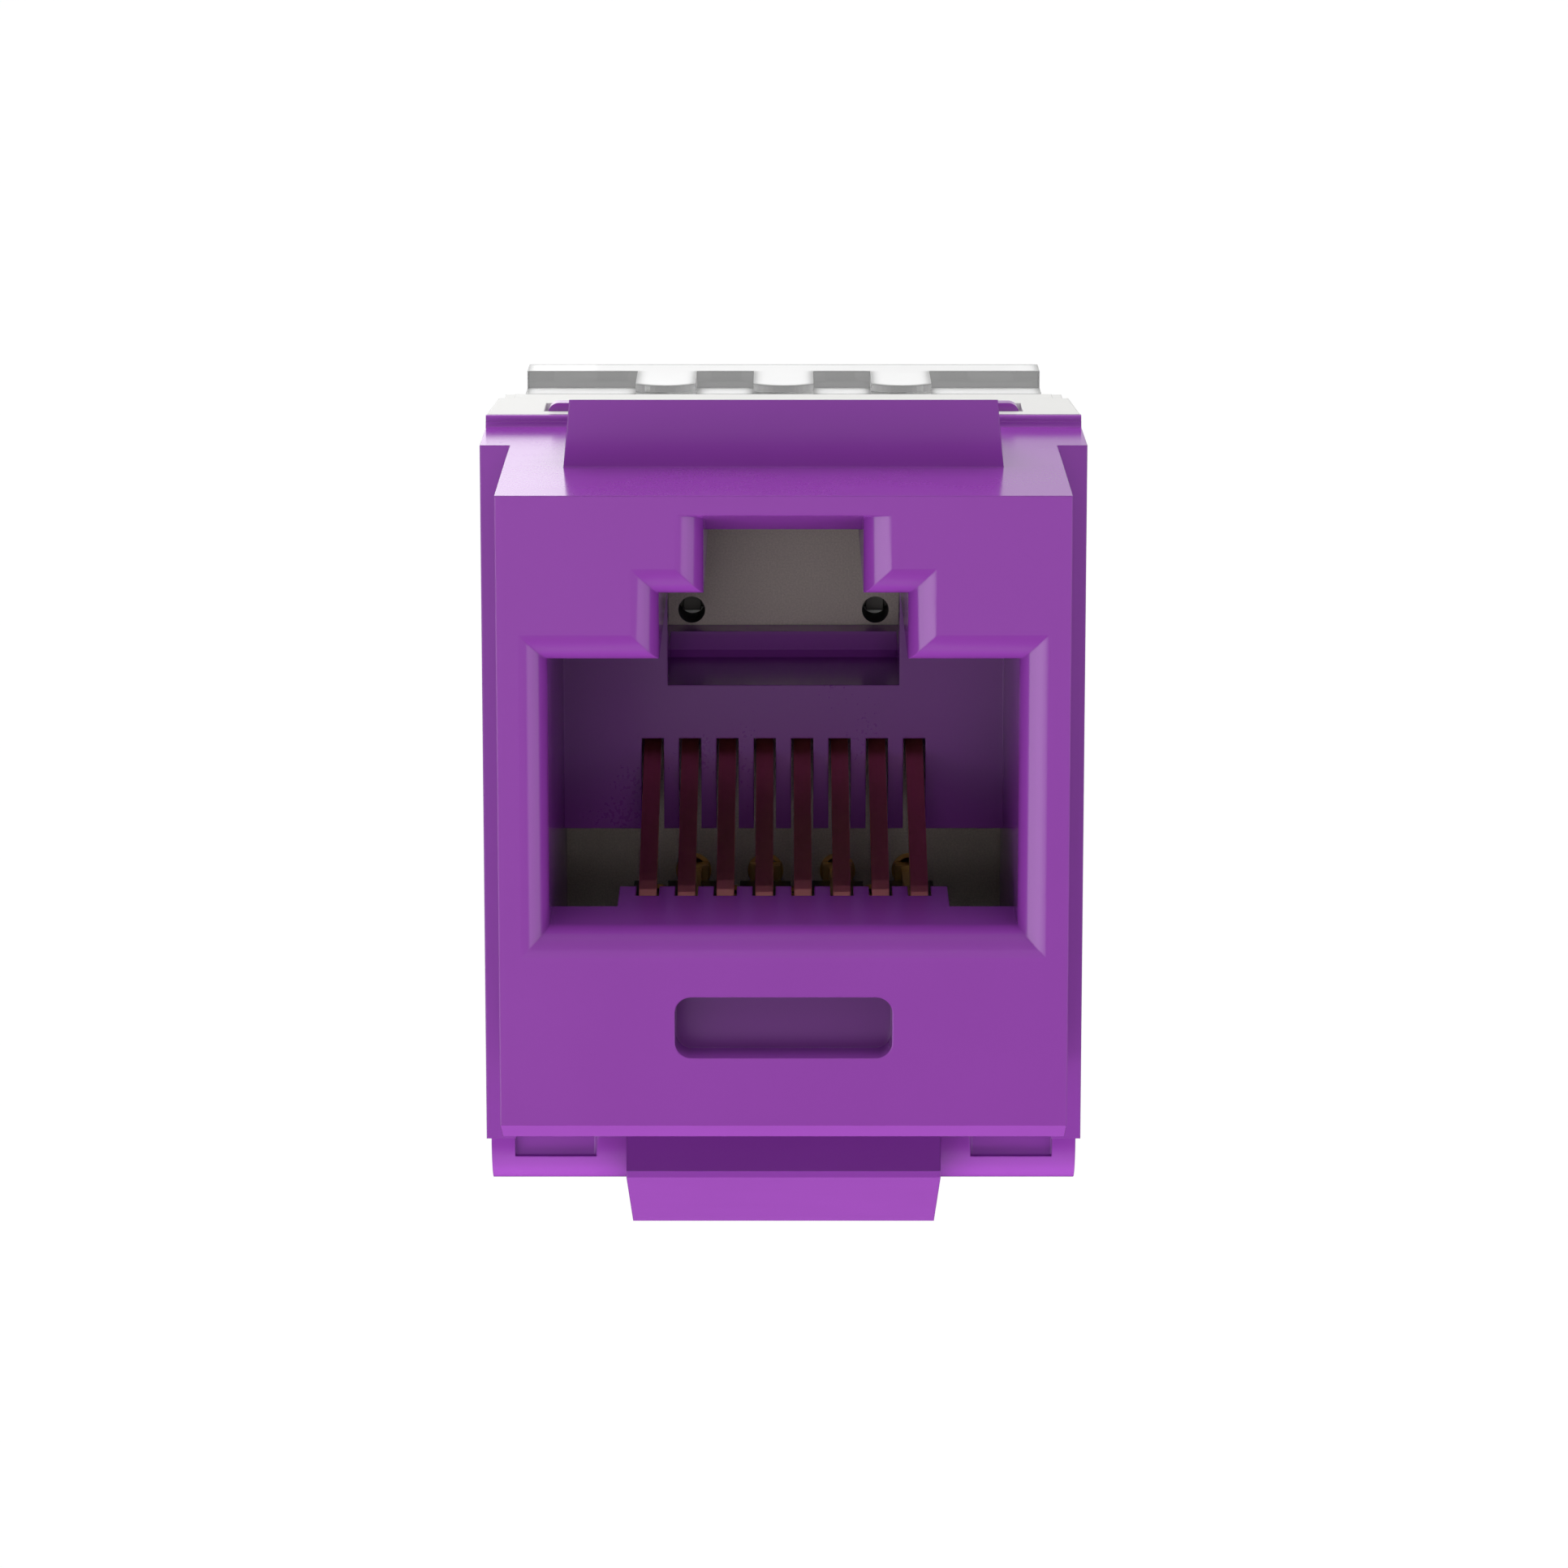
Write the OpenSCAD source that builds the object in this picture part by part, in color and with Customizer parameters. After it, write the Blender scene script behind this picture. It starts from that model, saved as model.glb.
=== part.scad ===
// Keystone jack: a moulded housing with an eight-contact plug port, a circuit board, a terminal block
// with insulation-piercing blades, and a clear wire cap.
// X runs to the right, Y from the front face to the rear, Z up. The origin is the centre of the front face.

/* [Nose] */
// Width of the nose that fills the panel opening
face_w = 14.5; // [14:0.1:15.2]
// Thickness of the nose's walls beside the port
cheek_t = 1.28; // [1.1:0.02:1.5]
// Thickness of the nose's wall under the contacts
sill_t = 1.6; // [1.4:0.05:1.9]
// Thickness of the nose's wall over the port
crown_t = 1.25; // [1.1:0.05:1.5]
// Depth of the nose in front of the panel stop
nose_d = 8.7; // [8.2:0.1:9.2]
// Height of the bevel along the lower front edge
chin_h = 0.6; // [0.3:0.05:1]
// Depth of the bevel along the lower front edge
chin_d = 1.2; // [0.6:0.1:2]
// Width of the label recess
label_w = 5.55; // [4:0.05:8]
// Height of the label recess
label_h = 1.6; // [1:0.05:2]
// Corner radius of the label recess
label_r = 0.42; // [0.2:0.02:0.48]
// Depth of the label recess
label_d = 1.1; // [0.4:0.1:1.6]
// Height of the wall between the label recess and the port
label_gap = 1.04; // [0.8:0.02:1.6]

/* [Fixed catch] */
// Distance from the nose's side to the catch ridge
ridge_margin = 1.56; // [1:0.02:2.7]
// Height of the catch ridge
ridge_h = 1.76; // [1.2:0.02:2]
// Distance from the front face to the catch ridge
ridge_y = 4.8; // [4.2:0.1:5.4]
// Length of the ridge's slope
ridge_l = 6.7; // [5:0.1:7]
// Draft on each side of the ridge, in degrees
ridge_draft = 5.3; // [0:0.1:10]

/* [Flexible latch] */
// Width of the latch
latch_w = 8.44; // [7:0.1:9.6]
// Distance from the front face to the latch's nose
latch_y = 7; // [6.4:0.1:7.4]
// Drop of the latch's nose below the underside
latch_drop = 2.7; // [2.4:0.1:3]
// Height of the flat on the latch's nose
latch_flat = 0.18; // [0.1:0.02:0.4]
// Length of the lever from the nose to its end
latch_l = 6.7; // [5:0.1:7.5]
// Slope of the lever, in degrees
latch_slope = 24.8; // [22:0.2:28]
// Thickness of the lever
latch_t = 0.8; // [0.6:0.05:0.9]
// Thickness of the spring leg
latch_leg_t = 1; // [0.8:0.05:1.4]
// Lean of the spring leg's front, in degrees
latch_lean = 23.7; // [15:0.2:26]

/* [Rear body] */
// Width of each panel stop ear, beyond the nose
ear_w = 0.8; // [0.6:0.05:1.2]
// How far the ears hang below the nose
ear_drop = 2.07; // [1.6:0.01:2.4]
// Thickness of the skirt's front wall
skirt_t = 1.6; // [1.4:0.05:1.9]
// How far the skirt hangs below the nose
skirt_drop = 4.2; // [4:0.1:4.6]
// Radius of the skirt's lower front edge
skirt_r = 1.45; // [0.8:0.05:1.5]
// Depth of the relief that the latch flexes into, front to back
relief_d = 0.9; // [0.7:0.05:1]
// Height of the relief over the lever
relief_h = 0.55; // [0.4:0.05:0.6]
// Distance from the skirt's side to each skirt pocket
pocket_margin = 0.65; // [0.4:0.05:1]
// Width of each skirt pocket
pocket_w = 2.2; // [1.6:0.1:2.4]
// Drop of each skirt pocket below the nose
pocket_drop = 3.3; // [3:0.1:3.5]
// Depth of each skirt pocket
pocket_d = 0.25; // [0.15:0.05:0.6]
// Draft of each skirt pocket's inner side, in degrees
pocket_draft = 17; // [0:1:25]
// Distance from the skirt's front to the shoulder across the top
shoulder_y = 0.73; // [0.6:0.01:0.9]
// Height of the shoulder
shoulder_h = 0.32; // [0.24:0.02:0.44]
// Thickness of the shoulder
shoulder_t = 0.27; // [0.24:0.01:0.36]
// Setback of the shoulder's upper half
shoulder_step = 0.06; // [0.03:0.01:0.1]
// Fillet radius at the shoulder's foot and top
shoulder_r = 0.1; // [0.05:0.01:0.11]
// Thickness of the rear box's side walls
side_wall = 0.85; // [0.7:0.05:1]
// Thickness of the rear box's floor and roof
box_wall = 0.8; // [0.7:0.05:1]
// Distance from the rear body's side to the clip catch
clip_margin = 1.65; // [1.35:0.05:2.5]
// Height of the clip catch above the shoulder
clip_h = 0.22; // [0.1:0.02:0.3]
// Length of the clip catch
clip_l = 1.5; // [1.2:0.1:1.6]
// Corner radius of the clip catch
clip_r = 0.3; // [0.1:0.05:0.4]

/* [Plug port] */
// Height of the port
port_h = 6.91; // [6.6:0.01:7.2]
// Depth of the port from the face to the comb wall
port_d = 11.3; // [11:0.1:11.5]
// Width of the channel for the plug's latch
key_w = 6.29; // [6.1:0.01:6.5]
// Height of the latch channel above the port
key_h = 1.69; // [1.5:0.01:1.8]
// Width of the notch for the plug's latch finger
notch_w = 4.03; // [3.8:0.01:4.3]
// Height of the notch above the latch channel
notch_h = 1.32; // [1.2:0.01:1.5]
// Rise of the notch's ceiling towards the face
notch_rise = 0.75; // [0.5:0.01:0.8]
// Length of the slope in the notch's ceiling
notch_l = 2.5; // [2:0.1:3]
// Radius of the round that leads into the port
lead_r = 0.71; // [0.5:0.01:0.8]
// Length of the port floor at its sides
floor_l = 2.79; // [2.6:0.01:3]
// Wall of the floor's comb tongue beside its slots
tongue_wall = 0.44; // [0.3:0.02:0.6]
// Length of the comb tongue behind the floor
tongue_l = 2.37; // [2.1:0.01:2.6]
// Thickness of the comb tongue
tongue_t = 0.35; // [0.3:0.05:0.5]

/* [Comb wall] */
// Thickness of the comb wall
comb_t = 1.6; // [1.4:0.05:1.8]
// Height from the port floor to the comb wall's lower edge
comb_rise = 0.25; // [0.1:0.01:0.4]
// Clearance over the contacts' ends in the comb slots
slot_head = 0.08; // [0.04:0.01:0.12]
// Height from the port floor to the latch pocket
shelf_rise = 4.22; // [4.1:0.02:4.4]
// Thickness of the shelf under the latch pocket
shelf_t = 1.2; // [1:0.05:1.3]
// Height of the lip at the rear of the latch pocket
lip_h = 0.7; // [0.4:0.05:0.8]
// Length of the lip at the rear of the latch pocket
lip_l = 1.05; // [0.8:0.05:1.3]
// Bevel at the foot of the lip
lip_foot = 0.18; // [0.1:0.02:0.3]

/* [Contacts] */
// Distance between contact centres
contact_spacing = 1.016; // [1:0.004:1.03]
// Width of a contact
contact_w = 0.465; // [0.4:0.005:0.5]
// Thickness of a contact
contact_t = 0.35; // [0.3:0.01:0.38]
// Slope of a contact in the port, in degrees
contact_slope = 19.5; // [18.5:0.1:20.5]
// Distance from the front face to the contacts' bends
contact_y = 4.08; // [3.98:0.02:4.18]
// Depth of the contact slope's line under the port floor, at the bends
contact_sink = 0.11; // [0.06:0.01:0.16]
// Depth of the upper runs under the port floor
upper_run = 2.13; // [2.08:0.01:2.23]
// Depth of the lower runs under the port floor
lower_run = 3.03; // [2.98:0.01:3.13]
// How far the contacts' ends enter the comb wall
contact_reach = 0.6; // [0.4:0.05:1.2]
// Side clearance of a contact in its slot
slot_gap = 0.07; // [0.05:0.005:0.09]
// Height of the contact sled
sled_h = 1.825; // [1.8:0.005:1.9]
// Width of a contact's shoulder at the board
stop_w = 0.85; // [0.6:0.05:0.95]
// Height of a contact's shoulder at the board
stop_h = 0.52; // [0.4:0.02:0.6]
// Length of a contact's shoulder at the board
stop_l = 0.45; // [0.3:0.05:0.6]
// Wall of the contact sled beside its slots
sled_wall = 0.34; // [0.25:0.01:0.6]
// Height of the sled's foot
sled_foot_h = 0.7; // [0.5:0.05:0.8]

/* [Circuit board] */
// Distance from the comb wall to the board
board_gap = 5.5; // [5.2:0.1:5.8]
// Thickness of the board
board_t = 1.6; // [1.5:0.05:1.7]
// Diameter of the plated holes
hole_d = 0.75; // [0.72:0.01:0.8]
// Diameter of the solder rings
ring_d = 1; // [0.9:0.02:1.1]
// Thickness of the solder rings
ring_t = 0.04; // [0.03:0.01:0.05]

/* [Terminal block] */
// Inset of the hood's sides from the rear body's
hood_inset = 0.03; // [0.02:0.01:0.2]
// Taper of the hood towards its rear, on each side
hood_taper = 0.17; // [0:0.01:0.3]
// Length of the hood
hood_l = 3.1; // [3:0.05:3.4]
// Thickness of the hood below the shoulder's top
hood_t = 0.8; // [0.7:0.02:0.9]
// Width of the bar in front of the hood's window
bar_l = 0.54; // [0.4:0.02:0.6]
// Inset of the neck's sides from the hood's rear
neck_inset = 0.41; // [0.3:0.01:0.8]
// Length of the step between the neck and the block
step_l = 0.76; // [0.6:0.02:1]
// Step down from the hood to the neck
neck_step = 0.03; // [0.02:0.01:0.06]
// Step down from the nose's top to the top of the block
block_step = 0.15; // [0.1:0.01:0.2]
// Length of the block's base behind the housing
base_l = 2.4; // [2.3:0.05:2.8]
// Gap between the towers and the cap's fingers
finger_gap = 0.12; // [0.1:0.01:0.22]
// Length of the towers
tower_l = 4.6; // [4.3:0.05:4.7]
// Height of each row of towers
tower_h = 5.6; // [5.2:0.1:5.8]
// Wall of the outer towers beside the blades
tower_wall = 0.5; // [0.45:0.01:0.7]
// Bevel on the towers' tips
tower_tip = 0.55; // [0.3:0.05:0.6]
// Distance between wire slots
wire_pitch = 3.4; // [3.35:0.01:3.45]
// Width of a wire slot
wire_slot = 0.9; // [0.7:0.05:1]
// Width of a blade
blade_w = 2.5; // [2.3:0.05:2.6]
// Thickness of a blade
blade_t = 0.4; // [0.35:0.01:0.42]
// Width of a blade's cutting slit
slit_w = 0.36; // [0.3:0.02:0.44]
// Length of a blade's cutting slit
slit_l = 2.6; // [2:0.05:3]
// Distance from the towers' tips to the blades' tips
blade_inset = 0.6; // [0.5:0.05:0.9]
// Width of a blade's tail
tail_w = 0.5; // [0.45:0.01:0.54]
// Distance from a wire slot to its blade's tail
tail_x = 0.87; // [0.8:0.01:0.95]
// Distance from the nose's top to the upper blades
blade_drop = 5.83; // [5.6:0.01:6]
// How far a tail enters the board
tail_l = 0.5; // [0.4:0.05:1.3]

/* [Wire cap] */
// Thickness of the cap's side arms
arm_t = 0.55; // [0.5:0.01:0.7]
// Thickness of the cap's rear plate
cap_t = 1.5; // [1.2:0.05:1.8]
// Distance from the nose's top to the cap's top
cap_step = 0.3; // [0.2:0.01:0.31]
// Length of the cap's collar in front of the plate
collar_l = 1.4; // [1.2:0.05:1.6]
// Step down from the plate to the collar
collar_step = 0.49; // [0.45:0.01:0.55]
// Wall of the collar
collar_wall = 0.9; // [0.8:0.05:1.1]
// Width of a finger
finger_w = 1.73; // [1.5:0.01:2]
// Length of a finger in front of the plate
finger_l = 3.15; // [2.8:0.05:3.3]
// Thickness of a finger
finger_t = 0.48; // [0.4:0.01:0.5]
// Bow of a finger's rounded end
finger_bow = 0.5; // [0.2:0.02:0.8]
// Diameter of the cable hole
cable_d = 6.5; // [6:0.1:7.5]
// Gap between the side arms' ends and the block's base
arm_gap = 0.5; // [0.4:0.02:0.7]
// Half height of the side arms
arm_h = 8; // [7:0.1:8.4]
// Length of the barb on each arm
barb_l = 0.8; // [0.6:0.05:0.9]
// Reach of the barb into the block
barb_h = 0.25; // [0.15:0.01:0.3]

/* [Hidden] */
$fn = 96;
// Clearance between pieces that are put together, and the overlap of cuts
fit = 0.05;
eps = 0.5;
// Flats along a contact's bend
arc_steps = 16;

// Widths
slot_w = contact_w + 2 * slot_gap;
comb_w = 7 * contact_spacing + slot_w;
tongue_w = comb_w + 2 * tongue_wall;
sled_w = comb_w + 2 * sled_wall;
port_w = face_w - 2 * cheek_t;
ridge_w = face_w - 2 * ridge_margin;
body_w = face_w + 2 * ear_w;
clip_w = body_w - 2 * clip_margin;
chamber_w = body_w - 2 * side_wall;
board_w = chamber_w - 4 * fit;
pocket_x = body_w / 2 - pocket_margin - pocket_w;
hood_w = body_w - 2 * hood_inset;
hood_rear_w = hood_w - 2 * hood_taper;
neck_w = hood_rear_w - 2 * neck_inset;
tower_w = 3 * wire_pitch + blade_w + 2 * tower_wall;
cap_w = tower_w + 4 * fit + 2 * arm_t;

// Levels, with the origin half way up the nose
sill_h = sill_t + sled_h + contact_t / 2 + upper_run;
face_h = sill_h + port_h + key_h + notch_h + crown_t;
top = face_h / 2;
under = -face_h / 2;
skirt_z = under - skirt_drop;
mid_z = (top + skirt_z) / 2;
floor_z = under + sill_h;
ceiling_z = floor_z + port_h;
key_z = ceiling_z + key_h;
notch_z = key_z + notch_h;
comb_z = floor_z + comb_rise;
shelf_z = floor_z + shelf_rise;
shoulder_z = top + shoulder_h;
roof_z = shoulder_z - hood_t - fit;
chamber_z = [skirt_z + box_wall, roof_z - box_wall];
run_z = [floor_z - lower_run, floor_z - upper_run];
sled_top = run_z[1] - contact_t / 2;
cavity_z = sled_top - sled_h;
cap_z = top - cap_step;
tower_z = cap_z - finger_t - finger_gap;

// Depths
comb_back = port_d + comb_t;
skirt_y = comb_back - skirt_t;
rib_y = skirt_y + shoulder_y;
board_y = port_d + board_gap;
body_end = board_y + board_t / 4;
board_back = board_y + board_t;
stop_y = board_y - ring_t - fit;
hood_y = rib_y + shoulder_t + fit;
clip_y = hood_y + bar_l + fit;
neck_y = hood_y + hood_l;
base_y = body_end + fit;
base_end = body_end + base_l;
tower_end = base_end + tower_l;
collar_y = tower_end + 2 * fit;
plate_y = collar_y + collar_l;
arm_y = base_end + arm_gap;

// The line along the middle of a contact's slope, and the top of the comb slots over its end
line_z = floor_z - contact_sink - contact_t / 2;
slot_top = line_z + (port_d + contact_reach - contact_y) * tan(contact_slope)
    + contact_t / 2 / cos(contact_slope) + slot_head;

// Contacts and terminals
contact_x = [for (i = [0:7]) (i - 3.5) * contact_spacing];
slot_x = [for (i = [0:3]) (i - 1.5) * wire_pitch];
blade_z = [top - blade_drop, 2 * mid_z - top + blade_drop];
// A tail stands off its wire slot on the side away from the centre
function tail_at(x) = x + sign(x) * tail_x;

// Solids from a profile: along_x takes (Y, Z), along_y takes (X, Z), along_z takes (X, Y) and across_x
// takes (Z, Y)
module along_x(w) { rotate([90, 0, 90]) linear_extrude(w, center = true) children(); }
module along_y(y) { translate([0, y[1], 0]) rotate([90, 0, 0]) linear_extrude(y[1] - y[0]) children(); }
module along_z(z) { translate([0, 0, z[0]]) linear_extrude(z[1] - z[0]) children(); }
module across_x(w) { rotate([0, -90, 0]) linear_extrude(w, center = true) children(); }

// A box between limits on each axis, and one centred on X
module block(x, y, z) {
    translate([x[0], y[0], z[0]]) cube([x[1] - x[0], y[1] - y[0], z[1] - z[0]]);
}
module slab(w, y, z) { block([-w / 2, w / 2], y, z); }

module area(y, z) { translate([y[0], z[0]]) square([y[1] - y[0], z[1] - z[0]]); }

module round_rect(w, h, r) {
    square([w - 2 * r, h], center = true);
    square([w, h - 2 * r], center = true);
    for (sx = [-1, 1], sz = [-1, 1])
        translate([sx * (w / 2 - r), sz * (h / 2 - r)]) circle(r);
}

// The outline of a straight pocket whose edges turn out in rounds at its mouth, where y = 0
module mouth(edge, d) {
    w = edge[1] - edge[0];
    translate([edge[0], -eps]) square([w, d + eps]);
    difference() {
        translate([edge[0] - lead_r, -eps]) square([w + 2 * lead_r, lead_r + eps]);
        for (t = [edge[0] - lead_r, edge[1] + lead_r]) translate([t, lead_r]) circle(lead_r);
    }
}

module round_mouth(w, z, d) {
    intersection() {
        along_z([z[0] - 2 * lead_r, z[1] + 2 * lead_r]) mouth([-w / 2, w / 2], d);
        across_x(w + 4 * lead_r) mouth(z, d);
    }
}

module nose() {
    along_x(face_w) polygon([[0, top], [skirt_y + fit, top], [skirt_y + fit, under], [chin_d, under],
        [0, under + chin_h]]);
}

module ridge() {
    half = ridge_w / 2;
    lean = tan(ridge_draft);
    intersection() {
        along_y([ridge_y, ridge_y + ridge_l]) polygon([[-half - eps * lean, top - eps],
            [half + eps * lean, top - eps], [half - ridge_h * lean, top + ridge_h],
            [-half + ridge_h * lean, top + ridge_h]]);
        along_x(2 * ridge_w) polygon([[ridge_y, top - eps], [ridge_y, top + ridge_h],
            [ridge_y + ridge_l, top], [ridge_y + ridge_l, top - eps]]);
    }
}

// The shoulder's profile, with a setback at mid height and small fillets at its foot and top
module shoulder_profile() {
    mid = top + shoulder_h / 2;
    y = rib_y + shoulder_step;
    area([rib_y, rib_y + shoulder_t], [top - eps, mid]);
    area([y + shoulder_r, rib_y + shoulder_t], [mid - fit, shoulder_z]);
    area([y, rib_y + shoulder_t], [mid - fit, shoulder_z - shoulder_r]);
    translate([y + shoulder_r, shoulder_z - shoulder_r]) circle(shoulder_r);
    difference() {
        area([rib_y - shoulder_r, rib_y + fit], [top - fit, top + shoulder_r]);
        translate([rib_y - shoulder_r, top + shoulder_r]) circle(shoulder_r);
    }
}

module rear_body() {
    slab(body_w, [nose_d, rib_y + shoulder_t], [under, top]);
    for (s = [0, 1]) mirror([s, 0, 0])
        block([face_w / 2, face_w / 2 + ear_w], [nose_d, skirt_y + skirt_r], [under - ear_drop, under + fit]);
    along_x(body_w) {
        area([skirt_y + skirt_r, body_end], [skirt_z, roof_z]);
        area([skirt_y, body_end], [skirt_z + skirt_r, roof_z]);
        translate([skirt_y + skirt_r, skirt_z + skirt_r]) circle(skirt_r);
    }
    along_x(body_w) shoulder_profile();
}

// The catch that the hood clips over: upright in front, sloped at the rear, with rounded upper corners
module clip_catch() {
    clip_top = shoulder_z + clip_h;
    height = clip_top - roof_z + 2 * clip_r;
    intersection() {
        along_y([clip_y, clip_y + clip_l])
            translate([0, clip_top - height / 2]) round_rect(clip_w, height, clip_r);
        along_x(clip_w) polygon([[clip_y, roof_z - fit], [clip_y, clip_top], [clip_y + clip_l / 3, clip_top],
            [clip_y + clip_l, roof_z], [clip_y + clip_l, roof_z - fit]]);
    }
}

// A leg down from the underside, and a lever that runs back and down from its nose
module latch() {
    nose_z = under - latch_drop;
    flat_z = nose_z + latch_flat;
    root_y = latch_y + (under - flat_z) * tan(latch_lean);
    slope = tan(latch_slope);
    rise = latch_t / cos(latch_slope);
    end = [latch_y + latch_l, nose_z - latch_l * slope];
    // A point inside the leg where the lever's upper side starts
    heel_y = latch_y + latch_leg_t * 0.8;
    along_x(latch_w) {
        polygon([[latch_y, flat_z], [latch_y + latch_leg_t, flat_z], [root_y + latch_leg_t, under],
            [root_y + latch_leg_t, under + fit], [root_y, under + fit], [root_y, under]]);
        polygon([[latch_y, flat_z], [latch_y, nose_z], end,
            end + latch_t * [sin(latch_slope), cos(latch_slope)],
            [heel_y, nose_z + rise - (heel_y - latch_y) * slope]]);
    }
}

// The plug port in three steps, with a notch whose ceiling slopes up to the face
module port() {
    back = comb_back + eps;
    round_mouth(port_w, [floor_z, ceiling_z], port_d);
    round_mouth(key_w, [floor_z + eps, key_z], port_d);
    slab(key_w, [port_d - eps, back], [shelf_z, key_z]);
    intersection() {
        along_z([ceiling_z, top]) mouth([-notch_w / 2, notch_w / 2], back);
        along_x(notch_w + 4 * lead_r) polygon([[-eps, ceiling_z], [back, ceiling_z], [back, notch_z],
            [notch_l, notch_z], [-eps, notch_z + notch_rise * (1 + eps / notch_l)]]);
    }
}

// The space under the port floor and the comb wall, for the contacts' bends and runs, less the comb tongue
module contact_cavity() {
    difference() {
        union() {
            slab(port_w, [floor_l, port_d], [cavity_z, floor_z + fit]);
            slab(port_w, [port_d - fit, comb_back + eps], [cavity_z, comb_z]);
        }
        slab(tongue_w, [floor_l - eps, floor_l + tongue_l], [floor_z - tongue_t, floor_z + eps]);
    }
}

module comb_slots() {
    for (x = contact_x) translate([x, 0, 0]) {
        slab(slot_w, [port_d - fit, comb_back + fit], [comb_z - fit, slot_top]);
        slab(slot_w, [contact_y - fit, floor_l + tongue_l + eps], [floor_z - tongue_t - eps, floor_z + eps]);
    }
}

module rear_chamber() {
    front = comb_back - eps;
    lip_y = board_y - fit - lip_l;
    lip_z = shelf_z + lip_h;
    difference() {
        slab(chamber_w, [comb_back, body_end + eps], chamber_z);
        difference() {
            slab(chamber_w + eps, [front, board_y - fit], [shelf_z - shelf_t, lip_z]);
            along_x(key_w) polygon([[front, shelf_z], [lip_y - lip_foot, shelf_z],
                [lip_y, shelf_z + lip_foot], [lip_y, lip_z + eps], [front, lip_z + eps]]);
        }
    }
}

module latch_relief() {
    w = latch_w + 4 * fit;
    slab(w, [skirt_y - eps, skirt_y + relief_d], [skirt_z - eps, under]);
    slab(w, [skirt_y, body_end + eps], [skirt_z - eps, skirt_z + relief_h]);
}

module skirt_pockets() {
    lean = tan(pocket_draft);
    for (s = [0, 1]) mirror([s, 0, 0]) along_z([under - pocket_drop, under])
        polygon([[pocket_x - (eps + pocket_d) * lean, skirt_y - eps], [pocket_x + pocket_w, skirt_y - eps],
            [pocket_x + pocket_w, skirt_y + pocket_d], [pocket_x, skirt_y + pocket_d]]);
}

module label_recess() {
    along_y([-eps, label_d])
        translate([0, floor_z - lead_r - label_gap - label_h / 2]) round_rect(label_w, label_h, label_r);
}

module housing() {
    color("#8e46a6") difference() {
        union() {
            difference() {
                union() {
                    nose();
                    rear_body();
                }
                latch_relief();
                skirt_pockets();
            }
            ridge();
            clip_catch();
            latch();
        }
        port();
        contact_cavity();
        comb_slots();
        rear_chamber();
        label_recess();
    }
}

// Points on an arc about c, from angle a to angle b
function arc(c, r, a, b) = [for (k = [0:arc_steps])
    let (t = a + (b - a) * k / arc_steps) c + r * [cos(t), sin(t)]];

// A spring contact: a run from the board with a shoulder that stops there, a bend in the tongue's slot and
// a slope up into the comb wall
module contact(i) {
    a = contact_slope;
    half = contact_t / 2;
    z = run_z[i % 2];
    // The bend touches the run below and the sloped line above, with its front at contact_y
    r = (half + (line_z - z) / tan(a)) / ((1 / cos(a) + 1) / tan(a) - 1);
    centre = [contact_y + half + r, z + r];
    end = centre + r * [-sin(a), cos(a)];
    slope = (port_d + contact_reach - end[0]) / cos(a) * [cos(a), sin(a)];
    across = half * [-sin(a), cos(a)];
    color("#b98a3c") translate([contact_x[i], 0, 0]) {
        along_x(contact_w) polygon(concat([[board_back, z - half]], arc(centre, r + half, 270, 90 + a),
            [end + slope + across, end + slope - across], arc(centre, r - half, 90 + a, 270),
            [[board_back, z + half]]));
        slab(stop_w, [stop_y - stop_l, stop_y], [z - stop_h / 2, z + stop_h / 2]);
    }
}

module contact_sled() {
    rear = stop_y - stop_l - fit;
    front = contact_y + 2 * upper_run;
    foot_w = port_w - 2 * fit;
    color("#2a2728") difference() {
        union() {
            slab(sled_w, [front, rear], [cavity_z, sled_top]);
            slab(foot_w, [front, rear], [cavity_z, cavity_z + sled_foot_h]);
        }
        for (i = [0:2:7]) translate([contact_x[i], 0, 0])
            slab(slot_w, [front - eps, rear + eps], [run_z[0] - contact_t / 2, sled_top + eps]);
    }
}

module holes_at(points, d, y) {
    for (p = points) translate([p[0], y[0], p[1]]) rotate([-90, 0, 0]) cylinder(d = d, h = y[1] - y[0]);
}

function contact_points() = [for (i = [0:7]) [contact_x[i], run_z[i % 2]]];
function tail_points() = [for (x = slot_x, z = blade_z) [tail_at(x), z]];

module circuit_board() {
    color("#5f5453") difference() {
        slab(board_w, [board_y, board_back], [chamber_z[0] + 2 * fit, chamber_z[1] - 2 * fit]);
        holes_at(concat(contact_points(), tail_points()), hole_d, [board_y - eps, board_back + eps]);
    }
}

module contact_pads() {
    color("#c79a45") difference() {
        holes_at(contact_points(), ring_d, [board_y - ring_t, board_y]);
        holes_at(contact_points(), hole_d, [board_y - eps, board_y + eps]);
    }
}

module hood() {
    low = roof_z + fit;
    neck_end = base_y - step_l;
    difference() {
        along_z([low, shoulder_z]) polygon([[-hood_w / 2, hood_y], [hood_w / 2, hood_y],
            [hood_rear_w / 2, neck_y], [-hood_rear_w / 2, neck_y]]);
        slab(clip_w + 4 * fit, [hood_y + bar_l, clip_y + clip_l + fit], [low - eps, shoulder_z + eps]);
    }
    slab(neck_w, [neck_y - fit, neck_end], [low, shoulder_z - neck_step]);
    slab(neck_w, [neck_end - fit, base_y + fit], [low, top - block_step]);
}

// A tower between two wire slots, with a bevelled tip, cut off at the block's sides
module tower(i, z) {
    x = [max(i * wire_pitch - (wire_pitch - wire_slot) / 2, -tower_w / 2),
        min(i * wire_pitch + (wire_pitch - wire_slot) / 2, tower_w / 2)];
    tip = tower_tip;
    along_z(z) polygon([[x[0], base_end - fit], [x[1], base_end - fit], [x[1], tower_end - 2 * tip],
        [x[1] - tip, tower_end], [x[0] + tip, tower_end], [x[0], tower_end - 2 * tip]]);
}

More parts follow.
